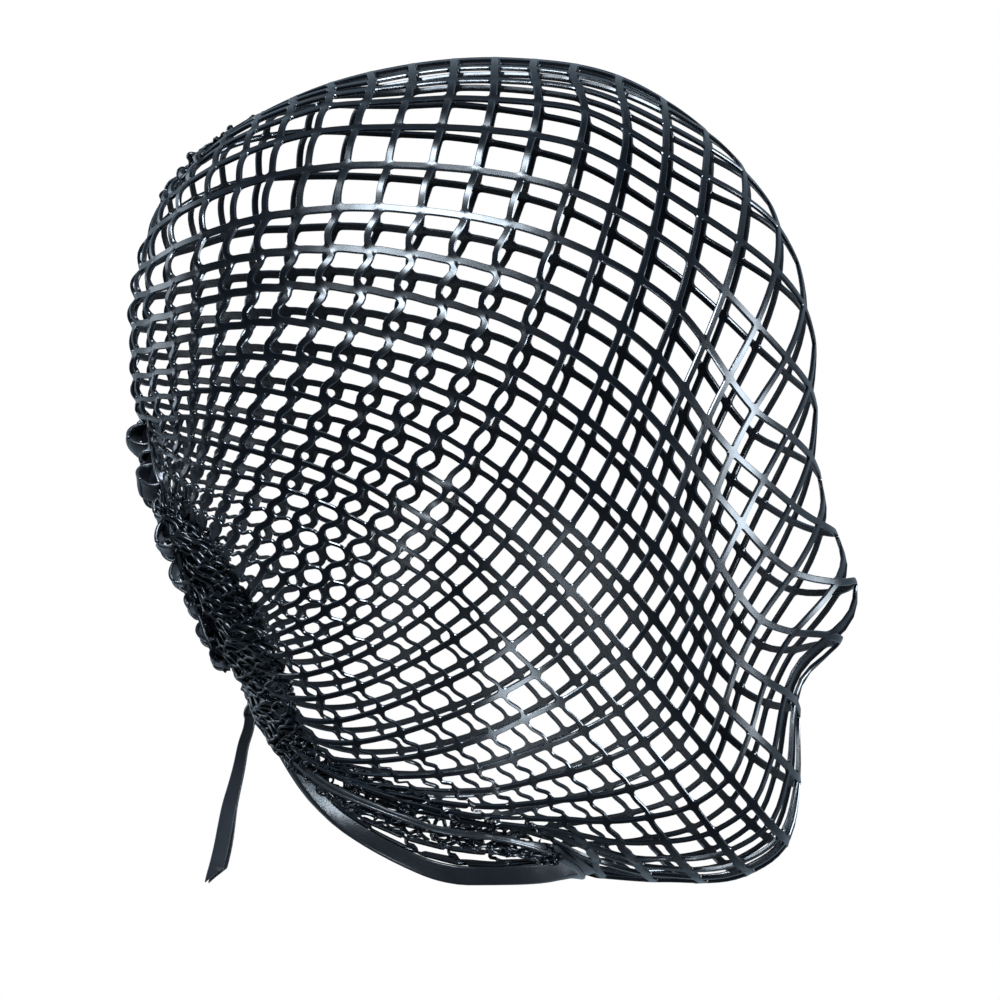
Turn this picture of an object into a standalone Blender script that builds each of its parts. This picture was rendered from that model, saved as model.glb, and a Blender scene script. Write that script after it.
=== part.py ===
"""Highlighting cap: an elastic lattice net worn over the head, gathered and tied at the nape.

Frame: +X towards the face, +Y to the wearer's left, +Z up. The origin is below the middle of the
head, on the plane the neck hem rests on. Lengths are millimetres, scaled to metres when objects
are made. The form is symmetric about y = 0: side is +1 on the left and -1 on the right.
"""

import math

import bmesh
import bpy
import numpy as np

MM = 0.001

# Stretched form
HEAD_CENTRE = np.array([-8.0, 0.0, 118.0])
HALF_WIDTH = 75.0          # over the temples
JAW_HALF_WIDTH = 62.0
NECK_HALF_WIDTH = 58.0
# Side outline (x, z): from the throat up the face, over the crown, down the nape and back under.
OUTLINE = [
    (22, 3), (48, 1.5), (70, 3), (82, 12), (85, 26), (85, 45), (85.5, 65), (87.5, 90),
    (89.5, 118), (90, 138), (89, 158), (84, 177), (73, 197), (56, 214), (35, 226.5),
    (5, 231.5), (-25, 229.5), (-55, 221), (-80, 205.5), (-94, 188), (-100, 165),
    (-100.5, 142), (-97, 122), (-92, 104), (-84, 86), (-76, 70), (-68, 54), (-62, 40),
    (-48, 20), (-26, 7), (0, 1),
]
# Where chin and neck shape the form: degrees above +X in side view, and the spread about that
CHIN_ANGLE, CHIN_SPREAD = -52, 20.0
NECK_ANGLE, NECK_SPREAD = -105, 38.0
# Superellipse power of the sections: 2 is an ellipse, more is boxier
SECTION_POWER = 2.25
CHIN_POWER_DROP = 0.25
NECK_POWER_GAIN = 0.7

NOSE_Z = 77.0
NOSE_OUT = 15.5
NOSE_REACH_UP = 25.5
NOSE_REACH_DOWN = 14.45
NOSE_WIDTH = 15.0
NOSE_SIDE_POWER = 1.3      # how sharply the nose falls away sideways
NOSE_MIN_X = 30            # keeps the nose off the back of the head

# Lattice net
NET_ROWS = 18              # cells from the throat over the crown to the back opening
NET_COLS = 8               # cells on each side of the middle
NET_REACH = 0.80           # share of the way to the nape that is open lattice
STRIP_WIDTH = 3.0
MAX_INSET_SHARE = 0.30     # largest inset, as a share of a cell's shortest edge
NET_THICK = 1.2
MIDLINE_START = (30.0, 3.5)       # x, z at the throat
MIDLINE_END = (-98.5, 131)        # x, z above the back opening
MIDLINE_SAMPLES = 721
NAPE_LOW = (-64.0, 9.0, 50.0)     # left nape corners the rows run to, first and last row
NAPE_HIGH = (-73.0, 10.0, 60.0)
ROW_FORWARD, ROW_SIDEWAYS = 0.55, 1.25   # how each row bows out over the side of the head
HEM_BLEND, BACK_BLEND = 0.16, 0.2        # share of the rows drawn towards each edge

# Neck hem
HEM_HEIGHT = 6.0
HEM_THICK = 1.6
HEM_GAP = 1.9              # between the hem and the net
HEM_HALF_LENGTH, HEM_HALF_WIDTH, HEM_MID_X = 44.0, 50.0, -20.5
HEM_TURN = math.radians(168)      # from the throat to the nape
HEM_TILT = math.radians(75)       # forward lean at the throat
HEM_TILT_REACH = 0.20             # share of the way to the nape over which the lean fades
# Lower rim in side view: x and z, from the nape to the throat
HEM_RIM_X = (-66, -62.7, -57.0, -48.7, -40, -26, -14, 12, 18.5, 23.5)
HEM_RIM_Z = (50, 42.0, 30.5, 20.0, 13.0, 5.0, 0.0, 0.0, 1.2, 3.0)
HEM_STEPS = 30             # on each side
HEM_REACH = 0.965

LIP_RADIUS = 1.1
LIP_RISE = 2.4             # above the hem's lower rim
LIP_GAP = 0.35
LIP_REACH = 0.955

# Band round the back opening
# Left edge as Bezier control points (x, y, z), from the top middle to the nape
BACK_EDGE = [(-97.2, 0, 128.0), (-96.0, 26, 120.0), (-88.5, 34, 86.0), (-75.0, 12, 60.0)]
BACK_OUT_TOP, BACK_OUT_NAPE = math.radians(90), math.radians(-50)  # angle above sideways
BACK_OUT_FORWARD = 0.25
BACK_GAP = 1.2             # between the band and the net
BAND_WIDTH = 5.6
BAND_THICK = 1.4
BAND_STEPS = 56            # on each side
BAND_REACH = 0.95
RUFFLES = 7                # on each side
RUFFLE_DEPTH = 3.6
RUFFLE_FADE = 6            # higher makes the ruffles die out closer to the nape
OUTER_RUFFLE = 0.35        # share of the ruffle on the outer edge; the opening edge has all of it

# Pleated gathers
GATHER_THICK = 2.2
GATHER_ROWS, GATHER_COLS = 16, 8
GATHER_FIRST_ROW, GATHER_ROW_SPAN = 0.07, 0.86   # as shares of the net's rows
GATHER_START, GATHER_END = NET_REACH + 0.022, 0.985
PLEAT_OUT, PLEAT_IN = 1.2, -0.4
PLEAT_START = 0.15         # where on the half sine wave the pleat depth begins

# Knot
KNOT_CENTRE = (-70.5, 0.0, 53.0)
KNOT_SIZE = (5.2, 7.6, 6.6)       # half sizes
GROOVE_DEPTH, GROOVE_WIDTH = 0.10, 0.22          # as shares of the half size
GROOVE_SLANT_Y, GROOVE_SLANT_Z = 0.6, 1.2

# Straps
STRAP_THICK = 1.6
STRAP_Y = 2.6
STRAP_TOP_WIDTH, STRAP_WIDENING = 3.0, 1.2
WIDENING_TOP_Z, WIDENING_LENGTH = 46, 30.0
ROOT_TOP_Z, ROOT_BOTTOM_Z = 45.4, 37.9
SPLAY_Z = 44.6             # height of the sideways hinge
SWING_Z = 36.0             # height of the fore-and-aft hinge, also the top of the tail
# Centre line (x, z), from the knot down
STRAP_PATH = np.array([
    (-68.3, 46.0), (-68.6, 43.0), (-70.0, 41.2), (-71.1, 34.2), (-72.5, 28.3),
    (-74.2, 22.4), (-75.3, 16.5), (-76.4, 10.6), (-77.8, 4.8), (-79.2, 0.6),
])
TAIL_END_Z = STRAP_PATH[-1, 1]
ROOT_STEPS, TAIL_STEPS = 5, 20
TAIL_SLANT = 3.0           # rise of the front edge at the free end
SLANT_START = 0.7          # share of the length where the slant begins


# ---------------------------------------------------------------- scene helpers
def clear_scene():
    for scene_object in list(bpy.data.objects):
        bpy.data.objects.remove(scene_object, do_unlink=True)


def new_collection(name):
    collection = bpy.data.collections.new(name)
    bpy.context.scene.collection.children.link(collection)
    return collection


def rubber(name, colour, roughness):
    material = bpy.data.materials.new(name)
    material.use_nodes = True
    shader = material.node_tree.nodes["Principled BSDF"]
    shader.inputs["Base Color"].default_value = (*colour, 1.0)
    shader.inputs["Roughness"].default_value = roughness
    shader.inputs["Metallic"].default_value = 0.0
    return material


def add_object(name, bm, material, collection, origin=(0.0, 0.0, 0.0), thickness=None):
    """Turn a bmesh in millimetres into an object with its origin at origin (millimetres)."""
    origin = np.array(origin, float)
    for vert in bm.verts:
        vert.co = (np.array(vert.co) - origin) * MM
    bm.normal_update()
    mesh = bpy.data.meshes.new(name)
    bm.to_mesh(mesh)
    bm.free()
    mesh.materials.append(material)
    new_object = bpy.data.objects.new(name, mesh)
    new_object.location = tuple(origin * MM)
    collection.objects.link(new_object)
    if thickness is not None:
        solidify = new_object.modifiers.new("Solidify", "SOLIDIFY")
        solidify.thickness = thickness * MM
        solidify.offset = 0.0
        solidify.use_even_offset = False


def grid_bmesh(rows, cols, place):
    """A grid of rows x cols cells whose corner (i, j) is put at place(i, j)."""
    bm = bmesh.new()
    bmesh.ops.create_grid(bm, x_segments=rows, y_segments=cols, size=0.5)
    for vert in bm.verts:
        i = int(round((vert.co.x + 0.5) * rows))
        j = int(round((vert.co.y + 0.5) * cols))
        vert.co = place(i, j)
    return bm


def add_ribbon(name, first_rail, second_rail, thickness, material, collection,
               origin=(0.0, 0.0, 0.0)):
    """A strip of the given thickness between two rails with equal numbers of points."""
    rails = (first_rail, second_rail)
    bm = grid_bmesh(len(first_rail) - 1, 1, lambda i, j: rails[j][i])
    add_object(name, bm, material, collection, origin, thickness)


# ---------------------------------------------------------------- the stretched form
def unit(vectors):
    return vectors / np.linalg.norm(vectors, axis=-1, keepdims=True)


def away_from_head(point):
    return unit(point - HEAD_CENTRE)


def smooth(t):
    t = np.clip(t, 0, 1)
    return t * t * (3 - 2 * t)


def mirrored(point, side):
    """A point given for the left side, moved to the given side."""
    return np.array(point) * (1, side, 1)


def outline_knots():
    """Angle, radius and slope of the outline about the head centre, overlapping a full turn."""
    x, z = (np.array(OUTLINE, float) - HEAD_CENTRE[[0, 2]]).T
    angles = np.arctan2(z, x)
    order = np.argsort(angles)
    angles, radii = angles[order], np.hypot(x, z)[order]
    angles = np.concatenate([angles[-3:] - 2 * np.pi, angles, angles[:3] + 2 * np.pi])
    radii = np.concatenate([radii[-3:], radii, radii[:3]])
    return angles, radii, np.gradient(radii, angles)


KNOT_ANGLES, KNOT_RADII, KNOT_SLOPES = outline_knots()


def outline_radius(angle):
    """Cubic Hermite curve through the outline points."""
    i = np.clip(np.searchsorted(KNOT_ANGLES, angle) - 1, 0, len(KNOT_ANGLES) - 2)
    step = KNOT_ANGLES[i + 1] - KNOT_ANGLES[i]
    t = (angle - KNOT_ANGLES[i]) / step
    return ((2 * t**3 - 3 * t**2 + 1) * KNOT_RADII[i]
            + (t**3 - 2 * t**2 + t) * step * KNOT_SLOPES[i]
            + (-2 * t**3 + 3 * t**2) * KNOT_RADII[i + 1]
            + (t**3 - t**2) * step * KNOT_SLOPES[i + 1])


def surface(directions):
    """Points of the stretched form in the given directions from the head centre."""
    directions = unit(directions)
    angle = np.arctan2(directions[..., 2], directions[..., 0])
    degrees = np.degrees(angle)
    sideways = np.abs(directions[..., 1])
    upright = np.sqrt(np.clip(1 - sideways**2, 0, 1))   # share lying in the middle plane

    chin = np.exp(-((degrees - CHIN_ANGLE) / CHIN_SPREAD)**2)
    from_neck = (degrees - NECK_ANGLE + 180) % 360 - 180
    neck = np.exp(-(from_neck / NECK_SPREAD)**2)
    half_width = (HALF_WIDTH + (JAW_HALF_WIDTH - HALF_WIDTH) * chin * upright**2
                  + (NECK_HALF_WIDTH - HALF_WIDTH) * neck * upright)
    power = SECTION_POWER - CHIN_POWER_DROP * chin + NECK_POWER_GAIN * neck
    radius = ((upright / outline_radius(angle))**power
              + (sideways / half_width)**power)**(-1 / power)
    points = HEAD_CENTRE + directions * radius[..., None]

    x, y, z = points[..., 0], points[..., 1], points[..., 2]
    nose_reach = np.where(z > NOSE_Z, NOSE_REACH_UP, NOSE_REACH_DOWN)
    nose = (NOSE_OUT * np.exp(-((z - NOSE_Z) / nose_reach)**2)
            * np.exp(-(np.abs(y) / NOSE_WIDTH)**NOSE_SIDE_POWER) * (x > NOSE_MIN_X))
    points[..., 0] += nose
    return points


def hem_low(s, side):
    """Lower rim of the neck hem: s is 0 at the throat and 1 at the nape."""
    x = HEM_MID_X + HEM_HALF_LENGTH * math.cos(s * HEM_TURN)
    y = side * HEM_HALF_WIDTH * math.sin(s * HEM_TURN)
    return np.array([x, y, np.interp(x, HEM_RIM_X, HEM_RIM_Z)])


def hem_up(s, _side):
    """Direction from the hem's lower rim to its upper: upright, but leaning forward at the throat."""
    tilt = HEM_TILT * (1 - smooth(s / HEM_TILT_REACH))
    return np.array([math.sin(tilt), 0.0, math.cos(tilt)])


def back_edge(s, side):
    """Edge of the opening at the back: s is 0 at the top middle and 1 at the nape."""
    p0, p1, p2, p3 = (mirrored(point, side) for point in BACK_EDGE)
    return (1 - s)**3 * p0 + 3 * s * (1 - s)**2 * p1 + 3 * s**2 * (1 - s) * p2 + s**3 * p3


def back_out(s, side):
    """Direction in the sheet, away from the back opening (a little longer than 1)."""
    angle = BACK_OUT_TOP * (1 - s) + BACK_OUT_NAPE * s
    return np.array([BACK_OUT_FORWARD, side * math.cos(angle), math.sin(angle)])


def midline_table():
    """Angles along the middle of the net and the share of its length reached at each."""
    start, end = (math.atan2(z - HEAD_CENTRE[2], x - HEAD_CENTRE[0])
                  for x, z in (MIDLINE_START, MIDLINE_END))
    angles = np.linspace(start, end, MIDLINE_SAMPLES)
    points = surface(np.stack([np.cos(angles), 0 * angles, np.sin(angles)], -1))
    steps = np.linalg.norm(np.diff(points, axis=0), axis=1)
    lengths = np.concatenate([[0], np.cumsum(steps)])
    return angles, lengths / lengths[-1]


MIDLINE_ANGLES, MIDLINE_SHARES = midline_table()


def dome(u, s, side):
    """Point of the net before its edges are drawn to the hem and the back band."""
    angle = np.interp(u, MIDLINE_SHARES, MIDLINE_ANGLES)
    middle = np.array([math.cos(angle), 0.0, math.sin(angle)])
    bow = middle * ROW_FORWARD + np.array([0.0, side, 0.0]) * ROW_SIDEWAYS
    nape = away_from_head(mirrored(NAPE_LOW, side) * (1 - u) + mirrored(NAPE_HIGH, side) * u)
    return surface((1 - s)**2 * middle + 2 * s * (1 - s) * bow + s**2 * nape)


def net_point(u, s, side):
    """Point of the net: u from the neck hem (0) over the crown to the back edge (1),
    s from the middle (0) to the nape (1)."""
    low = hem_low(s, side) + hem_up(s, side) * (HEM_HEIGHT + HEM_GAP)
    high = back_edge(s, side) + back_out(s, side) * (BAND_WIDTH / 2 + BACK_GAP)
    low_weight = 1 - smooth(u / HEM_BLEND)
    high_weight = 1 - smooth((1 - u) / BACK_BLEND)
    return (dome(u, s, side) + low_weight * (low - dome(0.0, s, side))
            + high_weight * (high - dome(1.0, s, side)))


def along_edge(edge, steps, reach):
    """Values of edge(s, side) from the left nape through the middle to the right nape."""
    return np.array([edge(abs(v) * reach, 1.0 if v < 0 else -1.0)
                     for v in np.linspace(-1, 1, 2 * steps + 1)])


# ---------------------------------------------------------------- parts
def make_net(collection, material):
    def place(i, j):
        side = -1.0 if j < NET_COLS else 1.0
        return net_point(i / NET_ROWS, abs(j - NET_COLS) / NET_COLS * NET_REACH, side)

    bm = grid_bmesh(NET_ROWS, 2 * NET_COLS, place)
    bmesh.ops.recalc_face_normals(bm, faces=bm.faces)
    for face in list(bm.faces):
        shortest = min(edge.calc_length() for edge in face.edges)
        inset = min(STRIP_WIDTH / 2, MAX_INSET_SHARE * shortest)
        bmesh.ops.inset_individual(bm, faces=[face], thickness=inset, use_even_offset=True)
    # open the cells: only their inset faces have three edges at every corner and no free edge
    cells = [face for face in bm.faces
             if all(len(vert.link_edges) == 3 for vert in face.verts)
             and all(len(edge.link_faces) == 2 for edge in face.edges)]
    bmesh.ops.delete(bm, geom=cells, context="FACES")
    add_object("lattice_net", bm, material, collection, thickness=NET_THICK)


def make_hem(collection, material):
    low = along_edge(hem_low, HEM_STEPS, HEM_REACH)
    high = low + along_edge(hem_up, HEM_STEPS, HEM_REACH) * HEM_HEIGHT
    add_ribbon("neck_hem_band", low, high, HEM_THICK, material, collection)


def make_lip(collection, material):
    """A rolled lip on the outside of the hem, a little above its lower edge."""
    low = along_edge(hem_low, HEM_STEPS, LIP_REACH)
    up = along_edge(hem_up, HEM_STEPS, LIP_REACH)
    out = unit((low - (HEM_MID_X, 0.0, 0.0)) * (1, 1, 0))
    # square to the band: outwards at the sides, mostly downwards at the throat
    out = unit(out - up * np.sum(out * up, axis=1, keepdims=True))
    points = low + up * LIP_RISE + out * (HEM_THICK / 2 + LIP_RADIUS + LIP_GAP)

    curve = bpy.data.curves.new("neck_hem_lip", "CURVE")
    curve.dimensions = "3D"
    curve.bevel_depth = LIP_RADIUS * MM
    curve.bevel_resolution = 1
    curve.use_fill_caps = True
    curve.materials.append(material)
    spline = curve.splines.new("POLY")
    spline.points.add(len(points) - 1)
    for spline_point, point in zip(spline.points, points):
        spline_point.co = (*(point * MM), 1.0)
    collection.objects.link(bpy.data.objects.new("neck_hem_lip", curve))


def make_back_band(collection, material):
    """A band round the back opening, ruffled most along the opening."""
    opening_rail, outer_rail = [], []
    for v in np.linspace(-1, 1, 2 * BAND_STEPS + 1):
        side = 1.0 if v < 0 else -1.0
        s = abs(v) * BAND_REACH
        edge = back_edge(s, side)
        half_band = unit(back_out(s, side)) * BAND_WIDTH / 2
        wave = (RUFFLE_DEPTH / 2 * (1 - math.cos(2 * math.pi * abs(v) * RUFFLES))
                * min(1.0, (1 - abs(v)) * RUFFLE_FADE))
        ruffle = away_from_head(edge) * wave
        opening_rail.append(edge - half_band + ruffle)
        outer_rail.append(edge + half_band + ruffle * OUTER_RUFFLE)
    add_ribbon("back_edge_band", opening_rail, outer_rail, BAND_THICK, material, collection)


def make_gather(name, side, collection, material):
    """The corner of the sheet bunched in pleats between the open lattice and the knot."""
    def place(i, j):
        u = GATHER_FIRST_ROW + GATHER_ROW_SPAN * i / GATHER_ROWS
        s = GATHER_START + (GATHER_END - GATHER_START) * j / GATHER_COLS
        point = net_point(u, s, side)
        depth = math.sin(math.pi * (PLEAT_START + (1 - PLEAT_START) * j / GATHER_COLS))
        return point + away_from_head(point) * (PLEAT_OUT if i % 2 else PLEAT_IN) * depth

    bm = grid_bmesh(GATHER_ROWS, GATHER_COLS, place)
    bmesh.ops.recalc_face_normals(bm, faces=bm.faces)
    add_object(name, bm, material, collection, thickness=GATHER_THICK)


def make_knot(collection, material):
    """An ellipsoid with a slanting groove round it."""
    bm = bmesh.new()
    bmesh.ops.create_uvsphere(bm, u_segments=20, v_segments=12, radius=1.0)
    for vert in bm.verts:
        from_groove = vert.co.z * GROOVE_SLANT_Z + vert.co.y * GROOVE_SLANT_Y
        scale = 1.0 - GROOVE_DEPTH * math.exp(-(from_groove / GROOVE_WIDTH)**2)
        vert.co = np.array(KNOT_CENTRE) + np.array(vert.co) * KNOT_SIZE * scale
    add_object("nape_knot", bm, material, collection)


def strap_x(z):
    """x of the strap's centre line; the path is reversed because z must increase."""
    return float(np.interp(z, STRAP_PATH[::-1, 1], STRAP_PATH[::-1, 0]))


def make_strap(name, side, top_z, end_z, steps, hinge_z, slant, collection, material):
    """A flat strap hanging from top_z to end_z, with its origin on its hinge."""
    y = side * STRAP_Y
    rear_rail, front_rail = [], []
    for k in range(steps + 1):
        share = k / steps
        z = top_z + (end_z - top_z) * share
        widening = STRAP_WIDENING * smooth((WIDENING_TOP_Z - z) / WIDENING_LENGTH)
        half_width = (STRAP_TOP_WIDTH + widening) / 2
        lift = slant * max(0.0, (share - SLANT_START) / (1 - SLANT_START))
        rear_rail.append((strap_x(z) - half_width, y, z))
        front_rail.append((strap_x(z) + half_width, y, z + lift))
    add_ribbon(name, rear_rail, front_rail, STRAP_THICK, material, collection,
               origin=(strap_x(hinge_z), y, hinge_z))


def main():
    clear_scene()
    cap = new_collection("highlighting_cap")

    make_net(cap, rubber("net_rubber", colour=(0.020, 0.023, 0.028), roughness=0.38))
    make_hem(cap, rubber("hem_rubber", colour=(0.018, 0.020, 0.024), roughness=0.30))
    make_lip(cap, rubber("lip_rubber", colour=(0.024, 0.026, 0.030), roughness=0.28))
    make_back_band(cap, rubber("edge_rubber", colour=(0.020, 0.022, 0.027), roughness=0.32))
    make_knot(cap, rubber("knot_rubber", colour=(0.014, 0.016, 0.019), roughness=0.40))

    gather_rubber = rubber("gather_rubber", colour=(0.012, 0.014, 0.017), roughness=0.45)
    tie_rubber = rubber("tie_rubber", colour=(0.022, 0.024, 0.029), roughness=0.34)
    for label, side in (("right", -1.0), ("left", 1.0)):
        make_gather("net_gather_" + label, side, cap, gather_rubber)
        make_strap("tie_root_" + label, side, ROOT_TOP_Z, ROOT_BOTTOM_Z, ROOT_STEPS,
                   hinge_z=SPLAY_Z, slant=0.0, collection=cap, material=tie_rubber)
        make_strap("tie_tail_" + label, side, SWING_Z, TAIL_END_Z, TAIL_STEPS,
                   hinge_z=SWING_Z, slant=TAIL_SLANT, collection=cap, material=tie_rubber)


main()
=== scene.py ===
"""Highlighting cap: an elastic lattice net over a head form, with a neck hem, a ruffled back edge
and two ties at the nape.

+X is the wearer's front, +Y the wearer's left and +Z up; the hem and the tie ends lie near z = 0.
Shapes are worked out in mm and become metres in new_object. Wherever `side` appears, -1 is the
wearer's right, +1 the wearer's left and 0 the middle plane.
"""

import math
from types import SimpleNamespace

import bmesh
import bpy
import numpy as np
from mathutils import Matrix, Vector


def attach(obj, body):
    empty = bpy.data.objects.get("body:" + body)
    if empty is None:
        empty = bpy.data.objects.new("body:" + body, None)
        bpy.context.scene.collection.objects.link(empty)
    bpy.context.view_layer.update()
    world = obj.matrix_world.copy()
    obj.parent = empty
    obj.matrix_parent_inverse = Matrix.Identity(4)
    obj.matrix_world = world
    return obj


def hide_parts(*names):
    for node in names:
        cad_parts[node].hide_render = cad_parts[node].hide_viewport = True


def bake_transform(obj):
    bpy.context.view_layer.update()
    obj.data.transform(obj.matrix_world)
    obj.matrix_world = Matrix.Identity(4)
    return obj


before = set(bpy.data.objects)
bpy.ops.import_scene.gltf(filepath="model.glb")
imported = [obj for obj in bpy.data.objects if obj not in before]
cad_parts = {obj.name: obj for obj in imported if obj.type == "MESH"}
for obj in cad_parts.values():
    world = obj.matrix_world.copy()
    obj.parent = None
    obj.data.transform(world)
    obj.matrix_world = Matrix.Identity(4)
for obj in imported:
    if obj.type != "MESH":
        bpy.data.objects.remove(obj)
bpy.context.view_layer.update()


# ---------------------------------------------------------------- small helpers
def unit(v):
    return v / np.maximum(np.linalg.norm(v, axis=-1, keepdims=True), 1e-9)


def smooth(t):
    """Smooth step from 0 to 1 as t runs from 0 to 1."""
    t = np.clip(t, 0, 1)
    return t * t * (3 - 2 * t)


def rise(x, start, end):
    return smooth((x - start) / (end - start))


def fall(x, start, end):
    return 1 - rise(x, start, end)


def window(x, start, full, hold, end):
    """0 below start, 1 from full to hold, 0 above end."""
    return rise(x, start, full) * fall(x, hold, end)


def chance(*key):
    """A fixed pseudo-random number in 0..1 for a key; the key's last number tells draws apart."""
    h = 2166136261
    for x in key:
        h = ((h ^ (int(x) + 1000)) * 16777619) & 0xffffffff
        h ^= h >> 13
    h = (h * 2246822519) & 0xffffffff
    return ((h ^ (h >> 15)) & 0xffffff) / float(0xffffff)


def path_length(points):
    """Distance along a polyline to each of its points."""
    steps = np.linalg.norm(np.diff(points, axis=0), axis=1)
    return np.concatenate([[0], np.cumsum(steps)])


# ---------------------------------------------------------------- the stretched head form
HEAD = np.array([-8.0, 0.0, 118.0])     # centre from which the form is measured
HALF_WIDTH, JAW_HALF_WIDTH, NECK_HALF_WIDTH = 75.0, 62.0, 58.0
# Profile on the middle plane as x, z: from the throat up the face, over the crown, down the back.
OUTLINE = np.array([
    (22, 3), (48, 1.5), (70, 3), (82, 12), (85, 26), (85, 45), (85.5, 65), (87.5, 90),
    (89.5, 118), (90, 138), (89, 158), (84, 177), (73, 197), (56, 214), (35, 226.5), (5, 231.5),
    (-25, 229.5), (-55, 221), (-80, 205.5), (-94, 188), (-100, 165), (-100.5, 142), (-97, 122),
    (-92, 104), (-84, 86), (-76, 70), (-68, 54), (-62, 40), (-48, 20), (-26, 7), (0, 1)], float)
OUTLINE_FROM_HEAD = OUTLINE - HEAD[[0, 2]]
OUTLINE_ANGLE = np.arctan2(OUTLINE_FROM_HEAD[:, 1], OUTLINE_FROM_HEAD[:, 0])
OUTLINE_RADIUS = np.hypot(OUTLINE_FROM_HEAD[:, 0], OUTLINE_FROM_HEAD[:, 1])
NOSE_Z, NOSE_OUT, NOSE_HEIGHT, NOSE_WIDTH = 77.0, 15.5, 17.0, 19.0
NOSE_MIN_X = 30     # the nose is raised only in front of this


def outline_radius(angle):
    """Cubic interpolation of the outline's radius, closed on itself."""
    order = np.argsort(OUTLINE_ANGLE)
    a, r = OUTLINE_ANGLE[order], OUTLINE_RADIUS[order]
    a = np.concatenate([a[-3:] - 2 * np.pi, a, a[:3] + 2 * np.pi])
    r = np.concatenate([r[-3:], r, r[:3]])
    slope = np.gradient(r, a)
    i = np.clip(np.searchsorted(a, angle) - 1, 0, len(a) - 2)
    h = a[i + 1] - a[i]
    t = (angle - a[i]) / h
    return ((2 * t**3 - 3 * t**2 + 1) * r[i] + (t**3 - 2 * t**2 + t) * h * slope[i]
            + (-2 * t**3 + 3 * t**2) * r[i + 1] + (t**3 - t**2) * h * slope[i + 1])


def form_surface(direction):
    """Points of the form in the given directions from HEAD."""
    d = direction / np.linalg.norm(direction, axis=-1, keepdims=True)
    angle = np.arctan2(d[..., 2], d[..., 0])
    sideways = np.abs(d[..., 1])
    in_plane = np.sqrt(np.clip(1 - sideways**2, 0, 1))
    profile = outline_radius((angle + np.pi) % (2 * np.pi) - np.pi)
    degrees = np.degrees(angle)
    # how much a direction points at the chin and down at the neck
    chin = np.exp(-((degrees + 52) / 20.0)**2)
    down = np.exp(-((np.abs(((degrees + 105 + 180) % 360) - 180)) / 38.0)**2)
    width = (HALF_WIDTH + (JAW_HALF_WIDTH - HALF_WIDTH) * chin * in_plane**2
             + (NECK_HALF_WIDTH - HALF_WIDTH) * down * in_plane)
    # superellipse across the head, squarer towards the neck
    power = 2.25 - 0.25 * chin + 0.7 * down
    radius = ((in_plane / profile)**power + (sideways / width)**power)**(-1 / power)
    points = HEAD + d * radius[..., None]
    y, z = points[..., 1], points[..., 2]
    reach = np.where(z > NOSE_Z, NOSE_HEIGHT * 1.5, NOSE_HEIGHT * 0.85)
    nose = (NOSE_OUT * np.exp(-((z - NOSE_Z) / reach)**2) * np.exp(-(np.abs(y) / NOSE_WIDTH)**2)
            * (points[..., 0] > NOSE_MIN_X))
    points[..., 0] += nose
    return points


def form_normals(points):
    """Outward normals of the form where the rays from HEAD to the points meet it."""
    step = 0.03
    d = unit(points - HEAD)
    t1 = unit(np.cross(d, [0.3, 0.2, 0.93]))
    t2 = np.cross(d, t1)
    n = unit(np.cross(form_surface(d + t1 * step) - form_surface(d - t1 * step),
                      form_surface(d + t2 * step) - form_surface(d - t2 * step)))
    return n * np.where(np.sum(n * d, axis=1) > 0, 1.0, -1.0)[:, None]


def side_point(x, z):
    """The point of the form on the wearer's right that has this x and z."""
    near, far = 0.0, 90.0
    for _ in range(40):
        middle = (near + far) / 2
        d = np.array([x - HEAD[0], -middle, z - HEAD[2]])
        if np.linalg.norm(d) < np.linalg.norm(form_surface(d[None])[0] - HEAD):
            near = middle
        else:
            far = middle
    return np.array([x, -near, z])


# The form's middle line, from the throat over the crown and down the back
MID_ANGLES = np.radians(np.linspace(-80, 200, 1401))
MID_LINE = form_surface(np.stack([np.cos(MID_ANGLES), 0 * MID_ANGLES, np.sin(MID_ANGLES)], -1))
MID_LENGTH = path_length(MID_LINE)


def crown_at_x(x):
    k = np.where(MID_LINE[:, 2] > 150)[0]
    return MID_LINE[k[np.argmin(np.abs(MID_LINE[k, 0] - x))]]


def mid_index_at_z(z, front):
    k = np.where((MID_LINE[:, 0] > 0) == front)[0]
    return k[np.argmin(np.abs(MID_LINE[k, 2] - z))]


def mid_length_near(x, z):
    return MID_LENGTH[np.argmin(np.hypot(MID_LINE[:, 0] - x, MID_LINE[:, 2] - z))]


def mid_at_length(length):
    return MID_LINE[np.argmin(np.abs(MID_LENGTH - length))]


# ---------------------------------------------------------------- lines of the hem and back edge
HEM_HEIGHT, HEM_GAP = 5.4, 0.6
HEM_MID_X, HEM_REACH_X, HEM_REACH_Y = -20.5, 44.0, 50.0     # the ellipse it follows from above
HEM_SWEEP = math.radians(168)       # angle of each half, from the throat towards the nape
HEM_TILT = math.radians(75)         # forward lean of the band at the throat
HEM_RIGHT_RAISE = 8.0               # how much higher it is pulled on the wearer's right
# Height of its lower edge: x and z
HEM_LINE_X = np.array([-66, -62.7, -57, -48.7, -40, -26, -14, 12, 18.5, 23.5])
HEM_LINE_Z = np.array([50, 42.5, 31.5, 21.0, 14.5, 7.0, 2.2, 1.8, 2.3, 3.5])
# Softening of that line: weight, shift in x
HEM_BLUR = [(w / 3.0, dx)
            for w, dx in ((0.5, -6.0), (0.75, -3.0), (0.5, 0.0), (0.75, 3.0), (0.5, 6.0))]


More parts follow.
